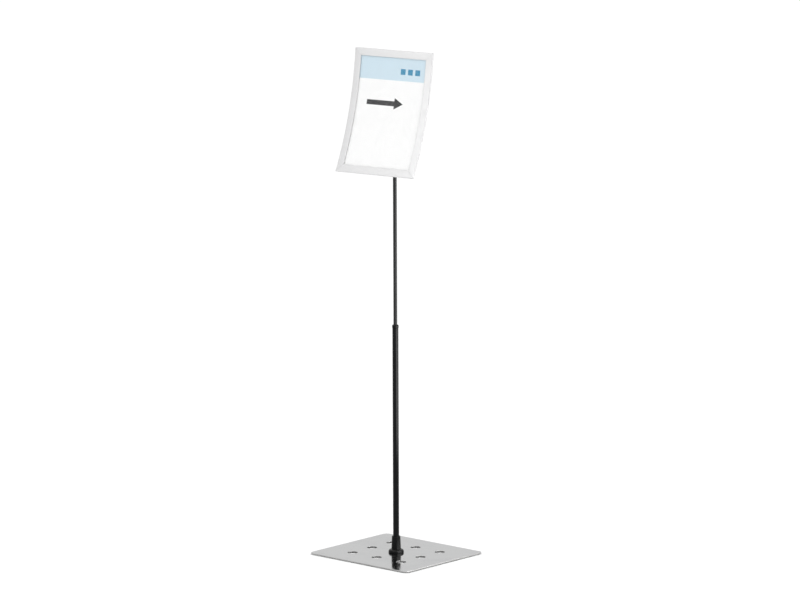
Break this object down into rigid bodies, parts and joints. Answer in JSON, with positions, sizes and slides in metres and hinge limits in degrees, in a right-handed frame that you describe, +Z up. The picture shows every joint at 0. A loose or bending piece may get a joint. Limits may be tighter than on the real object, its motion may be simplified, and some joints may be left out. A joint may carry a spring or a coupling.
{
  "type": "sign stand",
  "caption": "Floor sign stand: rectangular steel foot with a ring of round holes, telescopic black post and a curved framed panel for a portrait A4 sheet.",
  "frame": {"origin": "centre of the foot plate, on the floor under the pads", "axes": "+Z up along the post; X and Y along the foot's edges; the sign faces -Y, turned 8.2 degrees towards +X"},
  "size_m": [0.344, 0.306, 1.3398],
  "materials": {
    "polished_steel": "polished, lightly brushed",
    "zinc_steel": "bright zinc plated",
    "black_rubber": "matte",
    "black_moulding": "moulded, semi-gloss",
    "gloss_black": "gloss powder coat",
    "satin_black": "satin powder coat",
    "white_nylon": "natural nylon",
    "silver_moulding": "silver-grey, fine satin",
    "clear_plastic": "clear rigid film",
    "white_paper": "printed card"
  },
  "bodies": {
    "base": {"base_plate": "polished_steel", "foot_pad_1": "black_rubber", "foot_pad_2": "black_rubber", "foot_pad_3": "black_rubber", "foot_pad_4": "black_rubber", "base_bolt": "zinc_steel", "base_socket": "black_moulding", "lower_plug": "zinc_steel", "lower_tube": "gloss_black", "top_collar": "black_moulding"},
    "lock": {"lock_sleeve": "white_nylon"},
    "cone": {"lock_cone": "zinc_steel"},
    "mast": {"lock_spindle": "white_nylon", "upper_tube": "satin_black", "head_bracket": "satin_black", "set_screw": "zinc_steel", "friction_washer": "white_nylon", "spring_washer": "zinc_steel"},
    "panel": {"pivot_plate": "satin_black", "pivot_bolt": "zinc_steel", "lock_nut": "zinc_steel", "panel_screw_1": "zinc_steel", "panel_screw_2": "zinc_steel", "panel_screw_3": "zinc_steel", "panel_screw_4": "zinc_steel", "back_panel": "silver_moulding", "rail_left": "silver_moulding", "rail_right": "silver_moulding", "rail_top": "silver_moulding", "rail_bottom": "silver_moulding", "clear_cover": "clear_plastic"},
    "insert": {"paper_insert": "white_paper"}
  },
  "joints": [
    {"name": "height_slide", "type": "slide", "parent": "base", "child": "lock", "axis": [0, 0, 1], "range_m": [-0.4, 0.08]},
    {"name": "mast_turn", "type": "hinge", "parent": "lock", "child": "mast", "pos_m": [0, 0, 0.5017], "axis": [0, 0, 1], "range_deg": [-180, 180]},
    {"name": "cone_travel", "type": "slide", "parent": "lock", "child": "cone", "axis": [0, 0, 1], "range_m": [-0.0005, 0.0005]},
    {"name": "panel_turn", "type": "hinge", "parent": "mast", "child": "panel", "pos_m": [0.00502, -0.03484, 1.1779], "axis": [-0.1364, 0.9465, -0.2924], "range_deg": [0, 90]},
    {"name": "insert_slide", "type": "hinge", "parent": "panel", "child": "insert", "pos_m": [0.11714, -0.81289, 1.41823], "axis": [0.9898, 0.1426, 0], "range_deg": [0, 20]}
  ],
  "couplings": [
    {"joint": "cone_travel", "follows": "mast_turn", "m_per_rad": 0.00015915}
  ]
}
